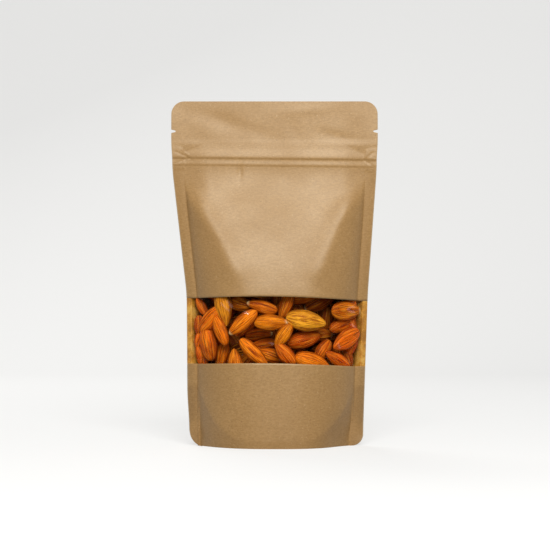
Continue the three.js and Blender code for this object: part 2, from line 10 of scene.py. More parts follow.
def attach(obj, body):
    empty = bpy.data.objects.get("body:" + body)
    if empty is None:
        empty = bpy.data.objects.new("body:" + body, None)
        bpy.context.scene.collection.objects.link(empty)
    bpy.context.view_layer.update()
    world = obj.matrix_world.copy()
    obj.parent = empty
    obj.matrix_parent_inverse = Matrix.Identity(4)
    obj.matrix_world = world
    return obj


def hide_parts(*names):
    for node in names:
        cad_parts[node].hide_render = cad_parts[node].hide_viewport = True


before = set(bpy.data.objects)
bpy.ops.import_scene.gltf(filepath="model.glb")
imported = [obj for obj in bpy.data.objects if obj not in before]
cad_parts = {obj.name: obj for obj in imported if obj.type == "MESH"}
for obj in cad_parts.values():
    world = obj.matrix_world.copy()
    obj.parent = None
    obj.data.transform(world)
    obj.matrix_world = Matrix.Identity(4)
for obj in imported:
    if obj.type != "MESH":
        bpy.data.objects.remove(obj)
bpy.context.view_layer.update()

MM = 0.001

# The pouch, in millimetres, as the CAD model has it
WIDTH = 120.0
HEIGHT = 200.0
SIDE_SEAL = 6.0
TOP_CORNER = 7.5
BOTTOM_CORNER = 6.5
KRAFT = 0.25
FILM = 0.2
BASE_DEPTH = 24.3
FILL_DEPTH = 19.8
FILL_HEIGHT = 88.0
FLAT_AT_BASE = 5.0
FLAT_AT_FILL = 14.0
WAIST_LEAN = 1.6
BASE_LEAN = 0.4
BEND = 5.0
ZIP_HEIGHT = 167.0
ZIP_STRIP = 12.0
ZIP_BULGE = 1.85
ZIP_RAMP = 4.0
HEADER_RAMP = 5.0
NOTCH_HEIGHT = 182.5
NOTCH_DEPTH = 2.6
NOTCH_HALF = 0.85
WINDOW_BOTTOM = 48.7
WINDOW_TILT = 0.85
FILM_LAP = 5.0
FILM_RECESS = 0.15
LAP_IN = 0.92
LAP_OUT = 0.97
SEAL_SHARE = 0.88
SEAL_LOW = 4.0
SEAL_HIGH = 35.0

# The window's upper edge, a little higher and flatter than the CAD model's
WINDOW_TOP = 86.7
WINDOW_ARCH = 1.9

# What the finished surfaces change: the extra arc beside the window, the share of the CAD model's
# depth that the zip keeps and where it fades out, the bend of the side seals, the lean of the
# header and the slope of the gusset's skirts
FULLER = 2.7
ZIP_KEPT = 0.62
ZIP_FADE = 15.0
FIN_BEND = 3.4
HEADER_LEAN = 0.09
SKIRT_SLOPE = 0.11

# How the meshes are divided
HALVINGS = 40
ALMOST_FLAT = 1e-3
FRONT_COLUMNS = 150
BACK_COLUMNS = 110
SEAL_COLUMNS = 9
CORNER_ROWS = 14
FILM_COLUMNS = 190
FILM_ROWS = 120
RAIL_COLUMNS = 121
RAIL_ROWS = 41
WELD = 1e-7

SHEET_HALF = WIDTH / 2 - SIDE_SEAL
ZIP_LOW = ZIP_HEIGHT - ZIP_STRIP / 2
ZIP_HIGH = ZIP_HEIGHT + ZIP_STRIP / 2

BULGE_KEYS = [
    (0, BASE_DEPTH - KRAFT),
    (FILL_HEIGHT, FILL_DEPTH - KRAFT),
    (ZIP_LOW - 1, ZIP_BULGE),
    (ZIP_HIGH - 2.5, ZIP_BULGE),
    (ZIP_HIGH + HEADER_RAMP, 0),
]
FLAT_KEYS = [(0, FLAT_AT_BASE), (FILL_HEIGHT, FLAT_AT_FILL), (ZIP_LOW - 1, SHEET_HALF - ZIP_RAMP)]
LEAN_KEYS = [(0, BASE_LEAN), (FILL_HEIGHT, WAIST_LEAN), (ZIP_LOW, 0)]


def softly(keys, z):
    """A value read from [height, value] pairs, with the corners rounded over BEND"""
    heights, values = zip(*keys)
    shifts = (-1, -0.5, 0, 0.5, 1)
    return sum(np.interp(z + shift * BEND, heights, values) for shift in shifts) / len(shifts)


def smooth(x, low, high):
    """0 up to low, 1 from high on, and a soft step between them"""
    t = np.clip((x - low) / (high - low), 0, 1)
    return t * t * (3 - 2 * t)


def bump(x, middle, half):
    """A smooth hill of height 1, over half on each side"""
    return np.exp(-((x - middle) / half) ** 2)


def fuller_at(z):
    """How much longer the film's arcs are, which the nuts push out beside the window"""
    above = smooth(z, WINDOW_BOTTOM - 1, WINDOW_BOTTOM + 2.5)
    return FULLER * above * (1 - smooth(z, WINDOW_TOP - 5, WINDOW_TOP - 1))


def fuller_back(z):
    """The same for the back, where it fades out softly up and down"""
    return FULLER * smooth(z, 18, WINDOW_BOTTOM) * (1 - smooth(z, WINDOW_TOP - 3, WINDOW_TOP + 36))


def corner(into, radius):
    """How much a rounded corner takes from the width, at a height that far into it"""
    into = np.clip(into, 0, radius)
    return radius - np.sqrt(radius**2 - into**2)


def section_at(z, fuller=0.0):
    """The pouch's cross-section: a flat middle, an arc on each side and the flat seals.
    Fuller arcs leave the cut edge where it is."""
    bulge = np.maximum(softly(BULGE_KEYS, z), 0)
    flat = softly(FLAT_KEYS, z)
    arc = SHEET_HALF + fuller - flat
    low = np.zeros_like(z) + 1e-6
    high = np.zeros_like(z) + math.pi / 2
    for _ in range(HALVINGS):
        angle = (low + high) / 2
        under = (1 - np.cos(angle)) / angle < bulge / arc
        low = np.where(under, angle, low)
        high = np.where(under, high, angle)
    radius = arc / low
    reach = np.where(low > ALMOST_FLAT, flat + radius * np.sin(low), SHEET_HALF)
    if np.ndim(fuller):
        edge = section_at(z)[4]
    else:
        edge = reach + SIDE_SEAL - corner(z - (HEIGHT - TOP_CORNER), TOP_CORNER)
        edge = edge - corner(BOTTOM_CORNER - z, BOTTOM_CORNER)
    return bulge, flat, radius, reach, edge, softly(LEAN_KEYS, z)


def outer_depth(x, z, fuller=0.0):
    """How far the outer face stands from the middle plane"""
    bulge, flat, radius, reach, _, middle = section_at(z, fuller)
    across = np.abs(x - middle)
    past = np.maximum(across - flat, 0)
    arc = bulge - radius + np.sqrt(np.maximum(radius**2 - past**2, 0))
    inside = (radius < 1e4) & (across < reach)
    arc = np.where(inside, np.maximum(arc, 0), 0)
    near_zip = smooth(z, ZIP_LOW - 32, ZIP_LOW - 1)
    return KRAFT + arc * (1 - near_zip * (1 - ZIP_KEPT * smooth(reach - across, 0, ZIP_FADE)))


def across_at(share, z, fuller=0.0):
    """0 is the middle, SEAL_SHARE the seal's inner line, 1 the cut edge"""
    _, _, _, reach, edge, middle = section_at(z, fuller)
    line = np.minimum(reach, edge - 0.5)
    size = np.abs(share)
    inner = line * size / SEAL_SHARE
    outer = line + (edge - line) * (size - SEAL_SHARE) / (1 - SEAL_SHARE)
    return middle + np.sign(share) * np.where(size <= SEAL_SHARE, inner, outer)


def window_edge(middle, share):
    """An edge of the window, highest in the middle and lower on the right than on the left"""
    return middle - WINDOW_ARCH * np.minimum(np.abs(share) / SEAL_SHARE, 1) ** 2 - WINDOW_TILT * share


# Relief of the sheets, in millimetres, outwards where it is positive. Its places are in the
# front's own X and Z.
ZIP_LINE = 166.2
ZIP_DROOP = 0.011


def dent(x, z, place, turn, half_length, half_width, depth):
    """A soft elongated dent, turned from the horizontal by an angle in degrees"""
    along = math.radians(turn)
    dx, dz = x - place[0], z - place[1]
    u = dx * math.cos(along) + dz * math.sin(along)
    v = dz * math.cos(along) - dx * math.sin(along)
    return -depth * np.exp(-((u / half_length) ** 2) - (v / half_width) ** 2)


def crease(x, z, start, end, width, depth):
    """A narrow crease between two points"""
    run = np.array(end) - np.array(start)
    t = np.clip(((x - start[0]) * run[0] + (z - start[1]) * run[1]) / run.dot(run), 0, 1)
    away = np.hypot(x - start[0] - t * run[0], z - start[1] - t * run[1])
    return -depth * np.exp(-((away / width) ** 2))


def header_wave(x, z):
    """The closed header is one limp sheet, so both its faces move together"""
    wave = dent(x, z, (-32, 188.5), -19, 19, 5, 0.9)
    wave += dent(x, z, (-9, 181), -25, 9, 4.5, 0.35)
    wave += dent(x, z, (11, 183), -68, 9, 5, 0.7)
    wave += dent(x, z, (38, 178.5), -14, 11, 3.6, 0.7)
    wave += dent(x, z, (47, 192), 60, 8, 6, -0.35)
    wave += dent(x, z, (20, 195), 5, 16, 3, -0.3)
    wave = 0.62 * wave + 0.1 * np.sin(x / 9 + 0.6) * np.sin(z / 7) + 0.05 * np.sin(x / 3.7 + z / 5)
    wave -= HEADER_LEAN * np.maximum(z - ZIP_HIGH, 0)
    return wave * smooth(z, ZIP_HIGH + 0.5, ZIP_HIGH + 5)


def zip_relief(x, z, inside):
    """The zip's rails and flange, pressed through the laminate and drooping to the right"""
    line = z - ZIP_LINE + ZIP_DROOP * x
    relief = 0.28 * smooth(line, -8, -5) * (1 - smooth(line, 5, 8)) * (1 - inside)
    relief += -0.5 * smooth(line, 0.3, 8.4) * (1 - smooth(line, 10, 19)) * inside
    relief += 0.36 * smooth(line, -0.5, 0.4) * (1 - smooth(line, 1, 6)) - 0.14 * bump(line, 0, 0.4)
    relief += 0.22 * smooth(line, -4.4, -3.5) * (1 - smooth(line, -3.2, -0.8))
    return relief


def crushed_ends(x, z):
    """The creases where the side seals crush the ends of the zip"""
    relief = crease(x, z, (-49, 166.6), (-57, 170.5), 0.6, 0.35)
    relief += crease(x, z, (-51, 166.6), (-57.5, 163.8), 0.5, 0.3)
    relief += crease(x, z, (-54, 172), (-50, 168.6), 0.5, -0.25)
    relief += crease(x, z, (52.5, 165.6), (57, 170), 0.6, 0.35)
    relief += crease(x, z, (52.5, 165.6), (57.5, 161.8), 0.6, 0.35)
    relief += crease(x, z, (55, 167), (58.5, 165.8), 0.5, -0.25)
    return 0.65 * relief


def seal_curve(share):
    """The round bottom seal's height, from the middle to the side seals"""
    size = np.minimum(np.abs(share) / SEAL_SHARE, 1)
    return SEAL_LOW + (SEAL_HIGH - SEAL_LOW) * size**4


def bottom_relief(x, z, share, inside):
    """The step along the round bottom seal, and the skirts, which draw in below it"""
    below = 1 - smooth(z - seal_curve(share), -4, 2.5)
    relief = -0.25 * below * inside * smooth(np.abs(share), 0.3, 0.62)
    relief += -SKIRT_SLOPE * np.clip(seal_curve(share) - z, 0, 22) * inside
    return relief


def soft_unevenness(x, z):
    """Shallow unevenness of a filled bag"""
    wave = np.sin(x / 11 + 1.3 * np.sin(z / 23)) * np.sin(z / 14 + 0.8)
    wave += 0.5 * np.sin(x / 5.3 - z / 17 + 2) * np.sin(z / 8.7 - x / 31)
    return 0.1 * wave


CREASE_LEFT = [(86, 21), (105, 25), (119, 31), (137, 44), (152, 54)]
CREASE_RIGHT = [(86, 22), (110, 29), (128, 36), (142, 45), (154, 55)]


def facet_creases(x, z):
    """The flat facet of the upper panel, which narrows to the window between two soft creases"""
    relief = 0
    for side, keys in ((-1, CREASE_LEFT), (1, CREASE_RIGHT)):
        line = np.interp(z, *zip(*keys))
        past = side * x - line
        width = np.where(past < 0, 9.0, 6.0)
        relief = relief + np.exp(-((past / width) ** 2))
    return 1.25 * relief * smooth(z, 90, 104) * (1 - smooth(z, 138, 152))


def fin_bend(x, z):
    """The side seals lean back from the front, all their layers together"""
    _, _, _, reach, edge, middle = section_at(z)
    out = np.clip((np.abs(x - middle) - reach) / SIDE_SEAL, 0, 1)
    upwards = smooth(z, 0, 14) * (1 - 0.75 * smooth(z, 40, 158)) * (1 - smooth(z, 150, 162))
    return FIN_BEND * out**1.6 * upwards


def front_relief(x, z, share):
    """All that stands out of the front or sinks into it, and the foot drawn in beside its middle"""
    inside = 1 - smooth(np.abs(share), SEAL_SHARE - 0.035, SEAL_SHARE)
    relief = zip_relief(x, z, inside) + crushed_ends(x, z)
    relief += bottom_relief(x, z, share, inside)
    relief += soft_unevenness(x, z) * inside * (1 - smooth(z, 150, 160))
    relief += facet_creases(x, z) * inside
    relief += 0.7 * bump(z, 106, 12) * inside * (1 - smooth(np.abs(share), 0.3, 0.75))
    relief += dent(x, z, (-20, 159), 88, 5, 1.3, 0.45)
    relief += dent(x, z, (5, 156), 80, 6, 3, 0.15)
    relief += -2.6 * bump(x, 37, 7) * (1 - smooth(z, 2, 24))
    relief += -0.14 * bump(np.abs(share), SEAL_SHARE + 0.006, 0.012)
    return relief


def back_relief(x, z, share):
    """The same for the back, which is smoother"""
    inside = 1 - smooth(np.abs(share), SEAL_SHARE - 0.035, SEAL_SHARE)
    relief = zip_relief(x, z, inside)
    relief += bottom_relief(x, z, share, inside)
    relief += soft_unevenness(-x - 7, z + 11) * inside * (1 - smooth(z, 150, 160))
    relief += dent(x, z, (14, 150), 70, 9, 3, 0.3)
    return relief


# Sheets as closed meshes
def slant(depth, x, z):
    """How much further a sheet reaches along Y than square to its own face"""
    dx_col, dx_row = np.gradient(x, axis=1), np.gradient(x, axis=0)
    dz_col, dz_row = np.gradient(z, axis=1), np.gradient(z, axis=0)
    dy_col, dy_row = np.gradient(depth, axis=1), np.gradient(depth, axis=0)
    area = dx_col * dz_row - dx_row * dz_col
    area = np.where(np.abs(area) < 1e-9, 1e-9, area)
    slope_x = (dy_col * dz_row - dy_row * dz_col) / area
    slope_z = (dy_row * dx_col - dy_col * dx_row) / area
    return np.sqrt(1 + np.clip(slope_x, -4, 4) ** 2 + np.clip(slope_z, -4, 4) ** 2)


def notch_at(z):
    """How deep the tear notches cut in"""
    into = np.clip(1 - ((z - NOTCH_HEIGHT) / NOTCH_HALF) ** 2, 0, 1)
    return NOTCH_DEPTH * into**0.6


def left_foot(z):
    """How far the cut edge of the left side seal comes in towards the foot"""
    return 1.1 * (1 - smooth(z, 8, 34)) + 1.2 * (1 - smooth(z, 2, 10))


def spaced(*stops):
    """Heights from (start, spacing) pairs, the last one ending the list"""
    heights = []
    for (start, spacing), (end, _) in zip(stops, stops[1:]):
        count = max(round((end - start) / spacing), 1)
        heights += [start + (end - start) * i / count for i in range(count)]
    return np.array(heights + [stops[-1][0]])


def corner_rows(low, high):
    """Rows through a rounded corner, closer together where the edge turns in"""
    turns = np.linspace(0, math.pi / 2, CORNER_ROWS)[1:]
    return low + (high - low) * np.sin(turns)


def share_columns(count):
    """Shares across a sheet, closer together towards the side seals"""
    most = 1.45
    inner = SEAL_SHARE * np.sin(np.linspace(-1, 1, count) * most) / math.sin(most)
    seal = np.linspace(SEAL_SHARE, 1, SEAL_COLUMNS)[1:]
    return np.concatenate([-seal[::-1], inner, seal])


def mesh_object(name, points, faces):
    """A smooth-shaded piece from points in millimetres"""
    mesh = bpy.data.meshes.new(name)
    mesh.from_pydata((np.asarray(points) * MM).tolist(), [], faces)
    mesh.validate()
    bm = bmesh.new()
    bm.from_mesh(mesh)
    bmesh.ops.recalc_face_normals(bm, faces=bm.faces)
    bm.to_mesh(mesh)
    bm.free()
    mesh.shade_smooth()
    piece = bpy.data.objects.new(name, mesh)
    bpy.context.collection.objects.link(piece)
    return piece


def grid_faces(rows, cols, start, turned):
    """The quads of a grid whose first point has the index start"""
    faces = []
    for i in range(rows - 1):
        for j in range(cols - 1):
            a = start + i * cols + j
            quad = (a, a + 1, a + cols + 1, a + cols)
            faces.append(quad[::-1] if turned else quad)
    return faces


def closed_sheet(name, outside, inside):
    """A closed solid between two grids of points, rows by columns by three"""
    rows, cols, _ = outside.shape
    second = rows * cols
    faces = grid_faces(rows, cols, 0, False) + grid_faces(rows, cols, second, True)
    for i in range(rows - 1):
        a, b = i * cols, (i + 1) * cols
        faces.append((a, b, second + b, second + a))
        faces.append((b + cols - 1, a + cols - 1, second + a + cols - 1, second + b + cols - 1))
    for j in range(cols - 1):
        a, b = j, (rows - 1) * cols + j
        faces.append((a + 1, a, second + a, second + a + 1))
        faces.append((b, b + 1, second + b + 1, second + b))
    return mesh_object(name, np.concatenate([outside.reshape(-1, 3), inside.reshape(-1, 3)]), faces)


def set_attribute(piece, name, values):
    layer = piece.data.attributes.new(name, "FLOAT", "POINT")
    layer.data.foreach_set("value", np.asarray(values, dtype=np.float32).ravel())


def kraft_sheet(name, side, shares, heights, low_edge=None, high_edge=None):
    """A kraft sheet of the front (side -1) or the back (side 1)"""
    relief = front_relief if side < 0 else back_relief
    share = np.tile(shares, (len(heights), 1))
    z = np.tile(heights[:, None], (1, len(shares)))
    if low_edge is not None:
        fade = 1 - smooth(z, heights[0], heights[0] + 18)
        z = z + (low_edge - heights[0]) * fade
    if high_edge is not None:
        fade = smooth(z, heights[-1] - 18, heights[-1])
        z = z + (high_edge - heights[-1]) * fade
    fuller = fuller_back(z) if side > 0 else 0.0
    x = across_at(share, z, fuller)
    beyond = np.clip((np.abs(share) - SEAL_SHARE) / (1 - SEAL_SHARE), 0, 1)
    x = x - np.sign(share) * beyond * notch_at(z) + np.where(share < 0, beyond * left_foot(z), 0)
    shape = outer_depth(x, z, fuller)
    outer = np.maximum(shape + relief(x, z, share), KRAFT)
    inner = np.maximum(outer - KRAFT * slant(shape, x, z), 0)
    inner *= 1 - smooth(np.abs(share), SEAL_SHARE, SEAL_SHARE + 0.01)
    lean = fin_bend(x, z) - header_wave(x, z)
    piece = closed_sheet(
        name, np.dstack([x, side * outer + lean, z]), np.dstack([x, side * inner + lean, z])
    )
    rim = np.zeros(share.shape)
    rim[:, [0, -1]] = 1
    if low_edge is None:
        rim[0] = 1
    if high_edge is None:
        rim[-1] = 1
    set_attribute(piece, "rim", np.concatenate([rim.ravel(), rim.ravel()]))
    set_attribute(piece, "inside", np.concatenate([np.zeros(rim.size), np.ones(rim.size)]))
    # Painted shade on the skirts below the round bottom seal, stronger on the side seals, with two paler
    # spots near the feet where the painted shade is lifted
    skirt_shade = smooth(seal_curve(share) + 0.8 * np.sin(x / 4.1) - z, -1.2, 1.8)
    pale = bump(x, -47, 4) * bump(z, 12, 4) + bump(x, 46, 5.5) * bump(z, 9, 7)
    skirt_shade = skirt_shade * (1 - 0.8 * np.minimum(pale, 1)) * smooth(np.abs(share), 0.2, 0.55)
    skirt_shade *= 1 + smooth(np.abs(share), SEAL_SHARE - 0.03, SEAL_SHARE + 0.01)
    set_attribute(piece, "skirt_shade", np.concatenate([skirt_shade.ravel(), np.zeros(rim.size)]))
    # Painted shade: the inner face within the seals, seen only in the gaps between the nuts, is made dark
    inner_shade = 1 - smooth(np.abs(share), SEAL_SHARE - 0.1, SEAL_SHARE - 0.05)
    set_attribute(piece, "inner_shade", np.concatenate([np.zeros(rim.size), inner_shade.ravel()]))
    return piece


def window_film():
    """The clear band, with its laps behind the kraft and the wrinkles of stretched film"""
    lap_turns = [s * SEAL_SHARE for s in (-LAP_OUT, -LAP_IN, LAP_IN, LAP_OUT)]
    shares = np.sort(np.concatenate([share_columns(FILM_COLUMNS), lap_turns]))
    heights = np.linspace(0, 1, FILM_ROWS)
    share = np.tile(shares, (len(heights), 1))
    size = np.abs(share) / SEAL_SHARE
    lap = FILM_LAP - (FILM_LAP + FILM_RECESS) * np.clip((size - LAP_IN) / (LAP_OUT - LAP_IN), 0, 1)
    low = window_edge(WINDOW_BOTTOM, share) - lap
    high = window_edge(WINDOW_TOP, share) + lap
    z = low + (high - low) * heights[:, None]
    fuller = fuller_at(z)
    x = across_at(share, z, fuller)
    shape = outer_depth(x, z, fuller)
    lean = slant(shape, x, z)
    kraft_inner = np.maximum(shape + front_relief(x, z, share) - KRAFT * lean, 0)
    inside = 1 - smooth(np.abs(share), SEAL_SHARE * 0.9, SEAL_SHARE)
    clear = smooth(z, WINDOW_BOTTOM - 1, WINDOW_BOTTOM + 5)
    clear = clear * (1 - smooth(z, WINDOW_TOP - 5, WINDOW_TOP + 1))
    outer = kraft_inner - FILM_RECESS * lean + film_wrinkles(x, z) * inside * clear
    outer = np.maximum(outer, FILM)
    inner = np.maximum(outer - FILM * lean, 0)
    bend = fin_bend(x, z)
    piece = closed_sheet(
        "window_film_clear", np.dstack([x, bend - outer, z]), np.dstack([x, bend - inner, z])
    )
    marks = (creased(x, z) * clear).ravel()
    set_attribute(piece, "crease", np.concatenate([marks, marks * 0]))
    return piece


def zip_rail(name, side):
    """A half of the zip, which fills most of the room behind its paper and is crushed thin at the seals"""
    shares = np.linspace(-1, 1, RAIL_COLUMNS) * (SEAL_SHARE - 0.04)
    heights = np.linspace(ZIP_LOW, ZIP_HIGH, RAIL_ROWS)
    share = np.tile(shares, (len(heights), 1))
    z = np.tile(heights[:, None], (1, len(shares)))
    x = across_at(share, z)
    shape = outer_depth(x, z)
    relief = front_relief if side < 0 else back_relief
    room = np.maximum(shape + relief(x, z, share) - KRAFT * slant(shape, x, z), 0.1)
    lean = -header_wave(x, z)
    outside = np.dstack([x, lean + side * room * 0.85, z])
    return closed_sheet(name, outside, np.dstack([x, lean + side * 0.02, z]))


FILM_CREASES = [
    ((46.0, 80.6), (43.4, 80.4), 0.55, 0.22),
    ((43.4, 80.4), (42.3, 79.4), 0.5, 0.2),
    ((42.3, 79.4), (43.2, 78.2), 0.5, 0.2),
    ((43.2, 78.2), (46.0, 77.4), 0.55, 0.22),
    ((-30.4, 82.8), (-26.0, 78.6), 0.5, -0.18),
    ((-27.0, 84.0), (-24.4, 80.6), 0.5, -0.15),
    ((-16.6, 77.8), (-14.6, 77.2), 0.5, 0.18),
    ((6.0, 73.0), (7.4, 71.6), 0.5, 0.16),
    ((-2.4, 60.2), (-0.6, 59.4), 0.5, 0.16),
    ((44.6, 70.6), (46.6, 68.8), 0.5, 0.2),
    ((36.6, 59.6), (37.6, 57.0), 0.5, 0.18),
]


def film_wrinkles(x, z):
    """Fine unevenness between the nuts, and the creases that catch the light"""
    wave = 0.09 * np.sin(x / 2.9 + 1.7 * np.sin(z / 6.1)) * np.sin(z / 4.3 + 0.9 * np.sin(x / 7.7))
    wave += 0.04 * np.sin(x / 1.3 + z / 3.1) * np.sin(z / 2.3 - x / 5.9)
    for crease_line in FILM_CREASES:
        wave = wave + crease(x, z, *crease_line)
    return wave


def creased(x, z):
    """1 on a crease and 0 away from it"""
    lines = [crease(x, z, start, end, width, -1.0) for start, end, width, _ in FILM_CREASES]
    return np.max(lines, axis=0)


def gusset_paper():
    """The folded floor, on the CAD node's own form, moved with the relief of the walls it is sealed to"""
    bm = bmesh.new()
    bm.from_mesh(bpy.data.objects["bottom_gusset"].data)
    bmesh.ops.remove_doubles(bm, verts=bm.verts, dist=WELD)
    mesh = bpy.data.meshes.new("gusset_paper")
    place = np.array([v.co for v in bm.verts]) / MM
    x, y, z = place.T
    _, _, _, reach, _, middle = section_at(z)
    share = (x - middle) / reach * SEAL_SHARE
    depth = np.maximum(outer_depth(x, z) - KRAFT, 0.1)
    relief = np.where(y < 0, front_relief(x, z, share), back_relief(x, z, share))
    shift = np.sign(y) * relief * np.clip(np.abs(y) / depth, 0, 1) + fin_bend(x, z)
    for vertex, moved in zip(bm.verts, np.where(np.abs(share) < SEAL_SHARE, shift, fin_bend(x, z))):
        vertex.co.y += moved * MM
    bm.to_mesh(mesh)
    bm.free()
    mesh.materials.clear()
    piece = bpy.data.objects.new("gusset_paper", mesh)
    bpy.context.collection.objects.link(piece)
    mesh.set_sharp_from_angle(angle=math.radians(40))
    mesh.shade_smooth()
    for name in ("rim", "inside", "inner_shade", "skirt_shade"):
        set_attribute(piece, name, np.zeros(len(mesh.vertices)))
    return piece


# The nuts: how finely they are divided, their room behind the film, how much larger they are and
# further out than their CAD nodes, more so at SPREAD_FROM from the middle, and their brightness
NUT_AROUND = 48
NUT_RINGS = 30
HEAP_AROUND = 36
HEAP_RINGS = 22
NUT_ROOM = 0.8
NUT_SWELL = 1.07
SIDE_SWELL = 0.16
NUT_SPREAD = 0.15
SPREAD_FROM = 40.0
NUT_GAIN = 1.1
NUT_SEED = 100
FRONT_NUTS = 16
NEAR_FILM = 2.0
# The share of nuts with a painted highlight on the tip
TIP_HIGHLIGHTS = 0.45
GROOVE_RADIUS = 5.0
OWN_STEP = 37.0

# The heap: its nuts' seeds, spacing and half sizes, how far they sink into the nuts before them,
# and the dark solid behind them all, which is painted shade deep in the heap
LAYOUT_SEED = 11
HEAP_SEED = 300
HEAP_UP = (42.0, 92.0, 7.0)
HEAP_ACROSS = (-45.0, 46.0, 7.5)
HEAP_SINK = 3.2
HEAP_THIN = 3.6
HEAP_WIDE = 5.2
CORE_NARROW = 0.96
CORE_THIN = 0.84
CORE_SHADE_TONE = (44, 16, 6)


class Nut:
    """An almond's place, axes and half sizes in millimetres"""

    def __init__(self, middle, axes, half):
        self.middle = np.array(middle, dtype=float)
        self.axes = np.array(axes, dtype=float)
        self.half = np.array(half, dtype=float)
        self.form = self.axes @ np.diag(self.half**-2.0) @ self.axes.T
        self.reach = np.sqrt(np.diag(self.axes @ np.diag(self.half**2.0) @ self.axes.T))

    @classmethod
    def from_node(cls, node):
        """The long axis runs to the tip, the second is the thin way and the third the wide way"""
        points = np.array([v.co for v in node.data.vertices]) / MM
        centre = points.mean(axis=0)
        rows = np.linalg.svd(points - centre)[2]
        along = (points - centre) @ rows[0]
        butt, tip = points[along.argmin()], points[along.argmax()]
        half_length = np.linalg.norm(tip - butt) / 2
        long_axis = (tip - butt) / (2 * half_length)
        middle = (tip + butt) / 2
        place = (points - middle) @ long_axis
        radii = np.linalg.norm(points - middle - np.outer(place, long_axis), axis=1)
        if radii[place > half_length / 3].max() > radii[place < -half_length / 3].max():
            long_axis = -long_axis
        thin = rows[2] - long_axis * rows[2].dot(long_axis)
        thin /= np.linalg.norm(thin)
        wide = np.cross(long_axis, thin)
        half_thin = np.abs((points - middle) @ thin).max()
        half_wide = np.abs((points - middle) @ wide).max()
        return cls(middle, np.column_stack([long_axis, thin, wide]), (half_length, half_thin, half_wide))

    def span(self, x, z):
        """Where a line along Y enters and leaves the nut, nan where it misses"""
        dx, dz = x - self.middle[0], z - self.middle[2]
        form = self.form
        half_b = form[0, 1] * dx + form[1, 2] * dz
        rest = form[0, 0] * dx**2 + 2 * form[0, 2] * dx * dz + form[2, 2] * dz**2 - 1
        under = half_b**2 - form[1, 1] * rest
        root = np.sqrt(np.where(under < 0, np.nan, under))
        enters, leaves = (-half_b - root) / form[1, 1], (-half_b + root) / form[1, 1]
        return enters + self.middle[1], leaves + self.middle[1]


def room_at(x, z):
    """How far from the middle plane a nut may reach behind the film, and before the back"""
    fuller = fuller_at(z)
    step = 0.2
    right, left = outer_depth(x + step, z, fuller), outer_depth(x - step, z, fuller)
    above = outer_depth(x, z + step, fuller_at(z + step))
    below = outer_depth(x, z - step, fuller_at(z - step))
    slope_x, slope_z = (right - left) / (2 * step), (above - below) / (2 * step)
    steep = np.sqrt(1 + np.clip(slope_x, -3, 3) ** 2 + np.clip(slope_z, -3, 3) ** 2)
    return outer_depth(x, z, fuller) - NUT_ROOM * steep


def samples(nut):
    """Lines along Y through a nut, and where each enters and leaves it"""
    across = np.linspace(-0.98, 0.98, 17)
    x, z = np.meshgrid(nut.middle[0] + nut.reach[0] * across, nut.middle[2] + nut.reach[2] * across)
    front, rear = nut.span(x, z)
    return x, z, front, rear


def settled(nut, others=(), sink=0.0):
    """The nut moved along Y until it rests on the film, or behind the others, and made thinner
    where the back is near, or None if the room is still too small"""
    for _ in range(8):
        x, z, front, rear = samples(nut)
        room = room_at(x, z)
        shift = np.nanmax(-room - front)
        for other in others:
            shift = max(shift, np.nanmax(np.append(other.span(x, z)[1] - sink - front, -99)))
        if np.nanmax(rear + shift - room) <= 0:
            return Nut(nut.middle + np.array([0, shift, 0]), nut.axes, nut.half)
        half = nut.half * np.array([0.993, 0.86, 0.988])
        nut = Nut(nut.middle * np.array([0.996, 1, 1]), nut.axes, half)
    return None


def squeezed(nut):
    """The nut made thinner and narrower, where it lies, until it fits between the film and the back"""
    for _ in range(14):
        x, z, front, rear = samples(nut)
        room = room_at(x, z)
        if np.nanmax(-room - front) <= 0 and np.nanmax(rear - room) <= 0:
            break
        nut = Nut(nut.middle * np.array([0.998, 1, 1]), nut.axes, nut.half * np.array([0.985, 0.95, 0.975]))
    return nut


def nut_skin(nut, seed, rings, count):
    """Points of an almond's skin, blunt at one end and pointed at the other, and the same points
    in the nut's own axes for its material, with a painted highlight on the tip of some nuts and painted
    shade on the narrow sides"""
    rng = np.random.default_rng(seed)
    t = np.linspace(0, math.pi, rings + 2)[:, None]
    turn = np.linspace(0, 2 * math.pi, count, endpoint=False)[None, :]
    s = -np.cos(t)
    profile = np.sin(t) ** 0.94 * (1 - 0.38 * np.maximum(s, 0) ** 1.5)
    ridges = int(rng.integers(5, 8))
    wander = 0.3 * np.sin(2.1 * s + rng.uniform(0, 6))
    groove = np.abs(np.sin(ridges * (turn + wander) + rng.uniform(0, 6)))
    fine = 1 + np.sin((2 * ridges + 1) * turn + 3 * s + rng.uniform(0, 6))
    groove = 0.6 * (1 - groove) ** 2 + 0.25 * fine
    facets = 0.5 + 0.5 * np.cos(2 * turn + rng.uniform(0, 6) + 0.8 * s)
    hollow = 0.5 + 0.5 * np.sin(2.7 * s + rng.uniform(0, 6)) * np.cos(turn + rng.uniform(0, 6))
    radius = profile * (1 - (0.03 * groove + 0.05 * facets + 0.04 * hollow) * np.sin(t))
    own = np.stack(
        [
            np.broadcast_to(s, radius.shape) * nut.half[0],
            radius * np.cos(turn) * nut.half[1],
            radius * np.sin(turn) * nut.half[2],
        ],
        axis=-1,
    )
    around = np.stack(
        [
            np.broadcast_to(s, radius.shape) * nut.half[0],
            np.broadcast_to(np.cos(turn), radius.shape) * GROOVE_RADIUS,
            np.broadcast_to(np.sin(turn), radius.shape) * GROOVE_RADIUS,
        ],
        axis=-1,
    )
    own, around = (np.concatenate([a[0, :1], a[1:-1].reshape(-1, 3), a[-1, :1]]) for a in (own, around))
    # A painted highlight on the tip of some nuts
    tip_highlight = float(rng.uniform() < TIP_HIGHLIGHTS)
    tip = tip_highlight * smooth(around[:, 0] / nut.half[0], 0.8, 0.97)
    # Painted shade on the narrow sides of the nut
    edge = smooth(np.abs(around[:, 2]) / GROOVE_RADIUS, 0.66, 1.0)
    return nut.middle + own @ nut.axes.T, around, tip, edge


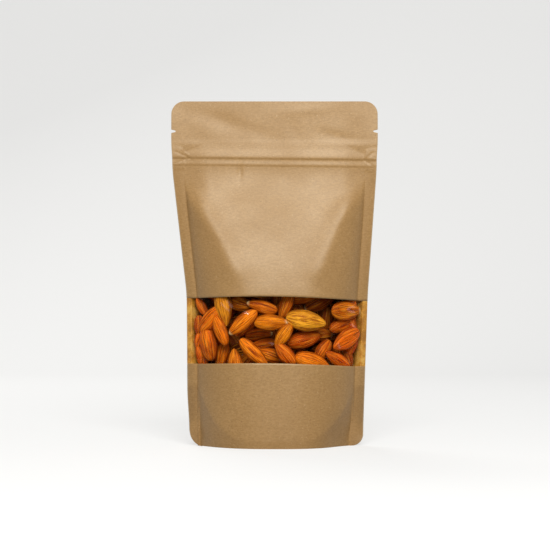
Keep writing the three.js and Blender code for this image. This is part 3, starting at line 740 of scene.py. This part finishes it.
def nut_faces(start, rings, count):
    """Quads between the rings, and a fan of triangles at each pole"""
    last = start + 1 + rings * count
    faces = []
    for j in range(count):
        k = (j + 1) % count
        faces.append((start, start + 1 + k, start + 1 + j))
        end = last - count
        faces.append((last, end + j, end + k))
        for i in range(rings - 1):
            a = start + 1 + i * count
            faces.append((a + j, a + k, a + count + k, a + count + j))
    return faces


def nuts_piece(name, nuts, tones, first_seed, rings=NUT_RINGS, count=NUT_AROUND):
    """One piece of one or more nuts, each with its own shape, place and tone for its material"""
    points, own, skins, tip_highlights, side_shades, faces = [], [], [], [], [], []
    for index, (nut, tone) in enumerate(zip(nuts, tones)):
        faces += nut_faces(sum(len(p) for p in points), rings, count)
        skin, local, tip, edge = nut_skin(nut, first_seed + index, rings, count)
        tip_highlights.append(tip)
        side_shades.append(edge)
        points.append(skin)
        own.append(local + OWN_STEP * (first_seed + index))
        skins.append(np.tile(linear([min(c * NUT_GAIN, 255) for c in tone]), (len(skin), 1)))
    piece = mesh_object(name, np.concatenate(points), faces)
    layer = piece.data.attributes.new("own", "FLOAT_VECTOR", "POINT")
    layer.data.foreach_set("vector", np.concatenate(own).astype(np.float32).ravel())
    layer = piece.data.attributes.new("skin", "FLOAT_COLOR", "POINT")
    layer.data.foreach_set("color", np.concatenate(skins).astype(np.float32).ravel())
    set_attribute(piece, "tip", np.concatenate(tip_highlights))
    set_attribute(piece, "edge", np.concatenate(side_shades))
    return piece


def linear(colour):
    """An sRGB colour of 0 to 255 as linear RGBA"""
    parts = [c / 255 for c in colour]
    return [p / 12.92 if p <= 0.04045 else ((p + 0.055) / 1.055) ** 2.4 for p in parts] + [1.0]


# Each nut's skin, in the order of the CAD nodes; the deep nuts at the end are darker, painted shade
NUT_TONES = [
    (212, 118, 10), (212, 120, 10), (192, 85, 7), (222, 114, 8), (240, 164, 40),
    (220, 113, 8), (220, 113, 9), (202, 105, 9), (206, 130, 26), (222, 110, 8),
    (200, 83, 6), (212, 98, 8), (196, 101, 9), (218, 95, 6), (220, 105, 7),
    (210, 90, 6), (216, 104, 8), (200, 88, 8), (192, 92, 10), (196, 96, 10),
    (210, 90, 8), (196, 96, 12), (192, 80, 8), (190, 78, 6), (186, 98, 10),
    (190, 86, 8), (200, 96, 8), (196, 89, 8), (172, 76, 8), (200, 82, 6),
    (210, 86, 6), (136, 57, 6), (146, 66, 6), (132, 55, 6), (146, 63, 6),
    (156, 67, 7), (146, 63, 6), (136, 57, 6), (136, 58, 6), (136, 55, 6),
    (136, 55, 6), (126, 54, 6), (136, 55, 6), (126, 54, 6),
]
# The tone of the nuts deep in the heap, darkened: painted shade
SHADED_DEEP_TONE = (100, 40, 8)


# Nuts that lie in the narrow room beside the seals: across, up, tilt, half sizes and tone
SIDE_NUTS = [
    (-43.0, 80.0, 60, (8.0, 2.7, 4.2), (196, 84, 16)),
    (-43.4, 68.5, 84, (7.5, 2.8, 4.0), (186, 80, 16)),
    (-43.4, 62.0, 105, (7.0, 2.8, 4.2), (214, 96, 18)),
    (-42.6, 52.5, 72, (8.2, 3.0, 4.8), (214, 88, 14)),
    (43.6, 79.5, 96, (7.5, 2.8, 4.4), (196, 84, 16)),
    (44.4, 69.0, 80, (7.5, 2.8, 3.8), (180, 72, 14)),
    (44.4, 59.0, 100, (7.5, 2.8, 4.2), (192, 76, 14)),
    (43.6, 51.0, 70, (6.5, 2.8, 4.0), (150, 58, 12)),
]


# Materials
class Graph:
    """A material's node tree, built by short calls"""

    def __init__(self, name):
        self.material = bpy.data.materials.new(name)
        self.material.use_nodes = True
        self.tree = self.material.node_tree
        self.tree.nodes.clear()

    def node(self, kind, sockets=None, **settings):
        node = self.tree.nodes.new("ShaderNode" + kind)
        for key, value in settings.items():
            setattr(node, key, value)
        for key, value in (sockets or {}).items():
            if isinstance(value, bpy.types.NodeSocket):
                self.tree.links.new(value, node.inputs[key])
            else:
                node.inputs[key].default_value = value
        return node

    def place(self):
        return self.node("TexCoord").outputs["Object"]

    def attribute(self, name, output="Fac"):
        return self.node("Attribute", attribute_name=name).outputs[output]

    def stretched(self, place, scale):
        return self.node("Mapping", {"Vector": place, "Scale": scale}).outputs["Vector"]

    def noise(self, place, scale=1.0, detail=4.0, roughness=0.55):
        sockets = {"Vector": place, "Scale": scale, "Detail": detail, "Roughness": roughness}
        return self.node("TexNoise", sockets).outputs["Fac"]

    def spread(self, value, low, high, to_low=0.0, to_high=1.0):
        sockets = {"Value": value, 1: low, 2: high, 3: to_low, 4: to_high}
        return self.node("MapRange", sockets, interpolation_type="SMOOTHSTEP").outputs["Result"]

    def mix(self, factor, first, second, blend="MIX"):
        node = self.tree.nodes.new("ShaderNodeMix")
        node.data_type = "RGBA"
        node.blend_type = blend
        for index, value in ((0, factor), (6, first), (7, second)):
            if isinstance(value, bpy.types.NodeSocket):
                self.tree.links.new(value, node.inputs[index])
            else:
                node.inputs[index].default_value = value
        return node.outputs[2]

    def math(self, operation, first, second):
        return self.node("Math", {0: first, 1: second}, operation=operation).outputs[0]

    def finish(self, shader):
        self.node("OutputMaterial", {"Surface": shader})
        return self.material


def kraft_material():
    """Brown kraft paper: long pale fibres, dark and light specks, a soft satin face, with painted shade on
    the skirts and on the inner face within the seals
    """
    g = Graph("kraft_paper")
    place = g.place()
    fibre = g.noise(g.stretched(place, (520, 520, 1300)), detail=6, roughness=0.68)
    cross = g.noise(g.stretched(place, (1300, 1300, 520)), detail=3)
    cloud = g.noise(place, scale=26, detail=3)
    speck = g.noise(place, scale=1150, detail=2, roughness=0.5)
    colour = g.mix(g.spread(fibre, 0.3, 0.7), linear((148, 111, 61)), linear((171, 132, 80)))
    colour = g.mix(g.spread(cross, 0.52, 0.75, 0, 0.35), colour, linear((178, 144, 98)))
    colour = g.mix(g.spread(cloud, 0.3, 0.7, 0, 0.3), colour, linear((148, 110, 62)))
    colour = g.mix(g.spread(speck, 0.66, 0.74, 0, 0.55), colour, linear((108, 76, 42)))
    colour = g.mix(g.spread(speck, 0.34, 0.26, 0, 0.45), colour, linear((196, 166, 122)))
    mottle = g.noise(place, scale=170, detail=4, roughness=0.65)
    golden = g.mix(g.spread(fibre, 0.3, 0.7), linear((188, 122, 28)), linear((214, 156, 58)))
    golden = g.mix(g.spread(mottle, 0.45, 0.62, 0, 0.7), golden, linear((140, 84, 14)))
    golden = g.mix(g.spread(mottle, 0.5, 0.34, 0, 0.7), golden, linear((226, 182, 92)))
    # Painted shade on the skirts below the round bottom seal
    skirt_shade = g.math("MULTIPLY", g.attribute("skirt_shade"), 0.38)
    colour = g.mix(skirt_shade, colour, (0.76, 0.73, 0.68, 1.0), "MULTIPLY")
    colour = g.mix(g.attribute("inside"), colour, golden)
    # Painted shade on the inner face within the seals
    colour = g.mix(g.math("MULTIPLY", g.attribute("inner_shade"), 0.85), colour, linear((66, 40, 18)))
    colour = g.mix(g.math("MULTIPLY", g.attribute("rim"), 0.75), colour, linear((212, 186, 150)))
    height = g.math("ADD", g.math("MULTIPLY", fibre, 0.6), g.math("MULTIPLY", cross, 0.4))
    bump_node = g.node("Bump", {"Height": height, "Strength": 0.28, "Distance": 0.0001})
    shader = g.node(
        "BsdfPrincipled",
        {
            "Base Color": colour,
            "Roughness": g.spread(cloud, 0.3, 0.7, 0.41, 0.49),
            "Specular IOR Level": 0.64,
            "Specular Tint": (1.0, 0.94, 0.8, 1.0),
            "Normal": bump_node.outputs["Normal"],
        },
    )
    return g.finish(shader.outputs["BSDF"])


def almond_material():
    """Almond skin: streaks and grooves along the nut over each nut's own tone, with painted highlights on
    the ridges and tips and painted shade on the narrow sides
    """
    g = Graph("almond_skin")
    own = g.attribute("own", "Vector")
    skin = g.attribute("skin", "Color")
    streak = g.noise(g.stretched(own, (0.07, 1.0, 1.0)), detail=4, roughness=0.62)
    fine = g.noise(g.stretched(own, (0.1, 2.0, 2.0)), detail=3, roughness=0.6)
    blotch = g.noise(g.stretched(own, (0.12, 0.22, 0.22)), detail=3)
    dust = g.noise(own, scale=2.2, detail=4)
    colour = g.mix(g.spread(streak, 0.41, 0.51, 0.95, 0), skin, (0.34, 0.18, 0.13, 1.0), "MULTIPLY")
    # Painted highlight on the ridges between the grooves
    colour = g.mix(g.spread(fine, 0.5, 0.62, 0, 0.5), colour, linear((246, 164, 48)))
    colour = g.mix(g.spread(fine, 0.4, 0.49, 0.85, 0), colour, (0.42, 0.27, 0.2, 1.0), "MULTIPLY")
    colour = g.mix(g.spread(blotch, 0.45, 0.68, 0, 0.45), colour, linear((138, 50, 10)))
    colour = g.mix(g.spread(dust, 0.6, 0.75, 0, 0.3), colour, linear((236, 170, 80)))
    # Painted shade on the narrow sides
    side = g.math("MULTIPLY", g.attribute("edge"), 0.7)
    colour = g.mix(side, colour, (0.4, 0.25, 0.2, 1.0), "MULTIPLY")
    # Painted highlight on the tips
    colour = g.mix(g.attribute("tip"), colour, linear((240, 204, 140)))
    height = g.math("ADD", g.math("MULTIPLY", streak, 0.7), g.math("MULTIPLY", fine, 0.3))
    bump_node = g.node("Bump", {"Height": height, "Strength": 0.7, "Distance": 0.0007})
    shader = g.node(
        "BsdfPrincipled",
        {
            "Base Color": colour,
            "Roughness": g.spread(fine, 0.3, 0.7, 0.42, 0.6),
            "Specular IOR Level": 0.14,
            "Specular Tint": (1.0, 0.74, 0.4, 1.0),
            "Normal": bump_node.outputs["Normal"],
        },
    )
    return g.finish(shader.outputs["BSDF"])


def film_material():
    """Clear glossy film, open to light and shadow. Its index is close to that of air, so that it lays
    no haze over the nuts, and a coat on the creases alone catches the light."""
    g = Graph("clear_film")
    place = g.place()
    haze = g.noise(place, scale=55, detail=3)
    ripple = g.noise(place, scale=190, detail=3)
    bump_node = g.node("Bump", {"Height": ripple, "Strength": 0.25, "Distance": 0.0006})
    shader = g.node(
        "BsdfPrincipled",
        {
            "Base Color": linear((255, 252, 246)),
            "Roughness": g.spread(haze, 0.3, 0.7, 0.03, 0.09),
            "IOR": 1.045,
            "Transmission Weight": 1.0,
            "Coat Weight": g.attribute("crease"),
            "Coat Roughness": 0.04,
            "Coat IOR": 1.8,
            "Normal": bump_node.outputs["Normal"],
        },
    )
    light = g.node("LightPath")
    passing = g.math("MAXIMUM", light.outputs["Is Shadow Ray"], light.outputs["Is Diffuse Ray"])
    clear = g.node("BsdfTransparent")
    mixed = g.node("MixShader", {0: passing, 1: shader.outputs["BSDF"], 2: clear.outputs["BSDF"]})
    return g.finish(mixed.outputs["Shader"])


MILKY = [(222, 220, 212), (236, 234, 228)]


def strip_material():
    """The zip's milky polymer, faintly drawn along its length"""
    g = Graph("zip_polymer")
    drawn = g.noise(g.stretched(g.place(), (60, 900, 900)), detail=4)
    shader = g.node(
        "BsdfPrincipled",
        {
            "Base Color": g.mix(g.spread(drawn, 0.3, 0.7), *map(linear, MILKY)),
            "Roughness": g.spread(drawn, 0.3, 0.7, 0.28, 0.4),
            "Subsurface Weight": 0.15,
            "Subsurface Scale": 0.002,
        },
    )
    return g.finish(shader.outputs["BSDF"])


def stage_material():
    """Pale to the eye and in reflections, greyer for the light that it sends back"""
    g = Graph("pale_stage")
    light = g.node("LightPath")
    seen = g.math("MAXIMUM", light.outputs["Is Camera Ray"], light.outputs["Is Glossy Ray"])
    seen = g.math("MAXIMUM", seen, light.outputs["Is Transmission Ray"])
    pale = g.node("BsdfDiffuse", {"Color": linear((170, 170, 168))})
    glow = g.node("Emission", {"Color": (1.0, 0.995, 0.985, 1.0), "Strength": 0.56})
    pale = g.node("AddShader", {0: pale.outputs["BSDF"], 1: glow.outputs["Emission"]})
    grey = g.node("BsdfDiffuse", {"Color": linear((150, 150, 150))})
    mixed = g.node("MixShader", {0: seen, 1: grey.outputs["BSDF"], 2: pale.outputs["Shader"]})
    return g.finish(mixed.outputs["Shader"])


# The camera, as the photograph was taken
CAMERA_PLACE = (0.0003, -1.13, 0.099)
CAMERA_LENS = 127.4

camera_data = bpy.data.cameras.new("camera")
camera_data.lens = CAMERA_LENS
camera_data.sensor_width = 36
camera = bpy.data.objects.new("camera", camera_data)
camera.location = CAMERA_PLACE
camera.rotation_euler = (math.pi / 2, 0, 0)
bpy.context.collection.objects.link(camera)
bpy.context.scene.camera = camera

# The kraft sheets
kraft = kraft_material()
front_shares = share_columns(FRONT_COLUMNS)
back_shares = share_columns(BACK_COLUMNS)
zip_rows = ((158, 0.45), (176, 0.9), (NOTCH_HEIGHT - 1.2, 0.2), (NOTCH_HEIGHT + 1.2, 0.9))
upper_rows = spaced((WINDOW_TOP, 1.1), *zip_rows, (HEIGHT - TOP_CORNER, 1))
upper_rows = np.concatenate([upper_rows, corner_rows(HEIGHT - TOP_CORNER, HEIGHT)])
foot_rows = BOTTOM_CORNER - corner_rows(0, BOTTOM_CORNER)[::-1]
lower_rows = np.concatenate([foot_rows, spaced((BOTTOM_CORNER, 0.9), (WINDOW_BOTTOM, 1))])
back_low = spaced((BOTTOM_CORNER, 1.3), *zip_rows, (HEIGHT - TOP_CORNER, 1))
back_rows = np.concatenate([foot_rows, back_low, corner_rows(HEIGHT - TOP_CORNER, HEIGHT)])

upper = kraft_sheet(
    "front_upper_paper", -1, front_shares, upper_rows, low_edge=window_edge(WINDOW_TOP, front_shares)
)
lower = kraft_sheet(
    "front_lower_paper", -1, front_shares, lower_rows, high_edge=window_edge(WINDOW_BOTTOM, front_shares)
)
back = kraft_sheet("back_paper", 1, back_shares, back_rows)
floor_fold = gusset_paper()
for piece, node in (
    (upper, "front_upper_panel"),
    (lower, "front_lower_panel"),
    (back, "back_panel"),
    (floor_fold, "bottom_gusset"),
):
    piece.data.materials.append(kraft)
    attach(piece, "root")
    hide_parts(node)

# The film
film = window_film()
film.data.materials.append(film_material())
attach(film, "root")
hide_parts("window_film")

# The nuts
skin_material = almond_material()
nuts = []
for index, tone in enumerate(NUT_TONES, start=1):
    node = f"almond_{index:02d}"
    nut = Nut.from_node(bpy.data.objects[node])
    near_seal = (nut.middle[0] / SPREAD_FROM) ** 2
    place = nut.middle * np.array([1 + NUT_SPREAD * near_seal, 1, 1])
    nut = Nut(place, nut.axes, nut.half * (NUT_SWELL + SIDE_SWELL * near_seal))
    x, z, front, rear = samples(nut)
    if np.nanmin(front + room_at(x, z)) < NEAR_FILM or index <= FRONT_NUTS:
        nut = settled(nut) or squeezed(nut)
    nuts.append(nut)
    piece = nuts_piece(f"{node}_skin", [nut], [tone], NUT_SEED + index)
    piece.data.materials.append(skin_material)
    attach(piece, "root")
    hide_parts(node)

# The heap behind them, with the nuts that show in the gaps
rng = np.random.default_rng(LAYOUT_SEED)
extra, extra_tones = [], []
for z in np.arange(*HEAP_UP):
    for x in np.arange(*HEAP_ACROSS):
        place = (x + rng.uniform(-2, 2), 0, z + rng.uniform(-2, 2))
        tilt, roll = rng.uniform(-1.2, 1.2), rng.uniform(-0.5, 0.5)
        axes = np.array(Matrix.Rotation(tilt, 3, "Y") @ Matrix.Rotation(roll, 3, "X"))
        half = np.array([rng.uniform(8.5, 10.5), HEAP_THIN, HEAP_WIDE])
        half = half * (0.8 if abs(x) > SPREAD_FROM else 1)
        nut = settled(Nut(place, axes, half), nuts, HEAP_SINK)
        red = rng.uniform(0.75, 1.1)
        if nut is not None:
            extra.append(nut)
            # The deep nuts take a dark tone, painted shade
            extra_tones.append([c * red for c in SHADED_DEEP_TONE])
for x, z, tilt, half, tone in SIDE_NUTS:
    axes = np.array(Matrix.Rotation(math.radians(tilt), 3, "Y"))
    extra.append(squeezed(Nut((x, 0, z), axes, half)))
    extra_tones.append(tone)
heap = nuts_piece("heap_of_nuts", extra, extra_tones, HEAP_SEED, HEAP_RINGS, HEAP_AROUND)
heap.data.materials.append(skin_material)
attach(heap, "root")
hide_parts("almond_heap")

# A near-black solid behind the heap: painted shade in the deep gaps
core_mesh = bpy.data.objects["almond_heap"].data.copy()
core_mesh.materials.clear()
core_mesh.transform(Matrix.Diagonal((CORE_NARROW, CORE_THIN, 1, 1)))
core = bpy.data.objects.new("heap_shade_core", core_mesh)
bpy.context.collection.objects.link(core)
layer = core_mesh.attributes.new("skin", "FLOAT_COLOR", "POINT")
layer.data.foreach_set("color", np.tile(linear(CORE_SHADE_TONE), (len(core_mesh.vertices), 1)).ravel())
layer = core_mesh.attributes.new("own", "FLOAT_VECTOR", "POINT")
core_points = np.array([v.co / MM for v in core_mesh.vertices], dtype=np.float32)
layer.data.foreach_set("vector", core_points.ravel())
core_mesh.materials.append(skin_material)
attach(core, "root")

# The zip's rails
strip = strip_material()
for name, node, side in (
    ("zip_rail_front", "zipper_track_front", -1),
    ("zip_rail_back", "zipper_track_back", 1),
):
    rail = zip_rail(name, side)
    rail.data.materials.append(strip)
    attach(rail, "root")
    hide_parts(node)

# The floor, the backdrop and the lights
FLOOR_HALF = 2.0
FLOOR_FRONT = -2.0
FLOOR_BACK = 0.8
SWEEP = 0.4
SWEEP_STEPS = 16
WALL_TOP = 3.0
profile = [(FLOOR_FRONT, 0), (FLOOR_BACK, 0)]
for step in range(1, SWEEP_STEPS + 1):
    angle = math.pi / 2 * step / SWEEP_STEPS
    profile.append((FLOOR_BACK + SWEEP * math.sin(angle), SWEEP * (1 - math.cos(angle))))
profile.append((FLOOR_BACK + SWEEP, WALL_TOP))
stage_points = [(x / MM, y / MM, z / MM) for y, z in profile for x in (-FLOOR_HALF, FLOOR_HALF)]
stage_faces = [(2 * i, 2 * i + 1, 2 * i + 3, 2 * i + 2) for i in range(len(profile) - 1)]
stage = mesh_object("studio_sweep", stage_points, stage_faces)
stage.data.materials.append(stage_material())

# The world's light on the object, and its paleness where it is seen or mirrored
AMBIENT = 0.35
SHOWN = 0.85
world = bpy.data.worlds.new("studio")
bpy.context.scene.world = world
world.use_nodes = True
tree = world.node_tree
tree.nodes.clear()
path_node = tree.nodes.new("ShaderNodeLightPath")
seen = path_node.outputs["Is Camera Ray"]
for other in ("Is Glossy Ray", "Is Transmission Ray"):
    most = tree.nodes.new("ShaderNodeMath")
    most.operation = "MAXIMUM"
    tree.links.new(seen, most.inputs[0])
    tree.links.new(path_node.outputs[other], most.inputs[1])
    seen = most.outputs[0]
lit, shown = tree.nodes.new("ShaderNodeBackground"), tree.nodes.new("ShaderNodeBackground")
lit.inputs["Color"].default_value = shown.inputs["Color"].default_value = (1, 1, 1, 1)
lit.inputs["Strength"].default_value = AMBIENT
shown.inputs["Strength"].default_value = SHOWN
either = tree.nodes.new("ShaderNodeMixShader")
tree.links.new(seen, either.inputs[0])
tree.links.new(lit.outputs[0], either.inputs[1])
tree.links.new(shown.outputs[0], either.inputs[2])
tree.links.new(either.outputs[0], tree.nodes.new("ShaderNodeOutputWorld").inputs["Surface"])


def area_light(name, place, target, size, power):
    data = bpy.data.lights.new(name, "AREA")
    data.size = size
    data.energy = power
    light = bpy.data.objects.new(name, data)
    light.location = place
    light.rotation_euler = (Vector(target) - Vector(place)).to_track_quat("-Z", "Y").to_euler()
    bpy.context.collection.objects.link(light)


area_light("key", place=(0.06, -1.0, 0.8), target=(0, 0, 0.12), size=0.7, power=14)
area_light("fill", place=(-0.35, 0.75, 0.75), target=(0, 0, 0.1), size=0.6, power=4)

bpy.context.scene.view_settings.view_transform = "Standard"
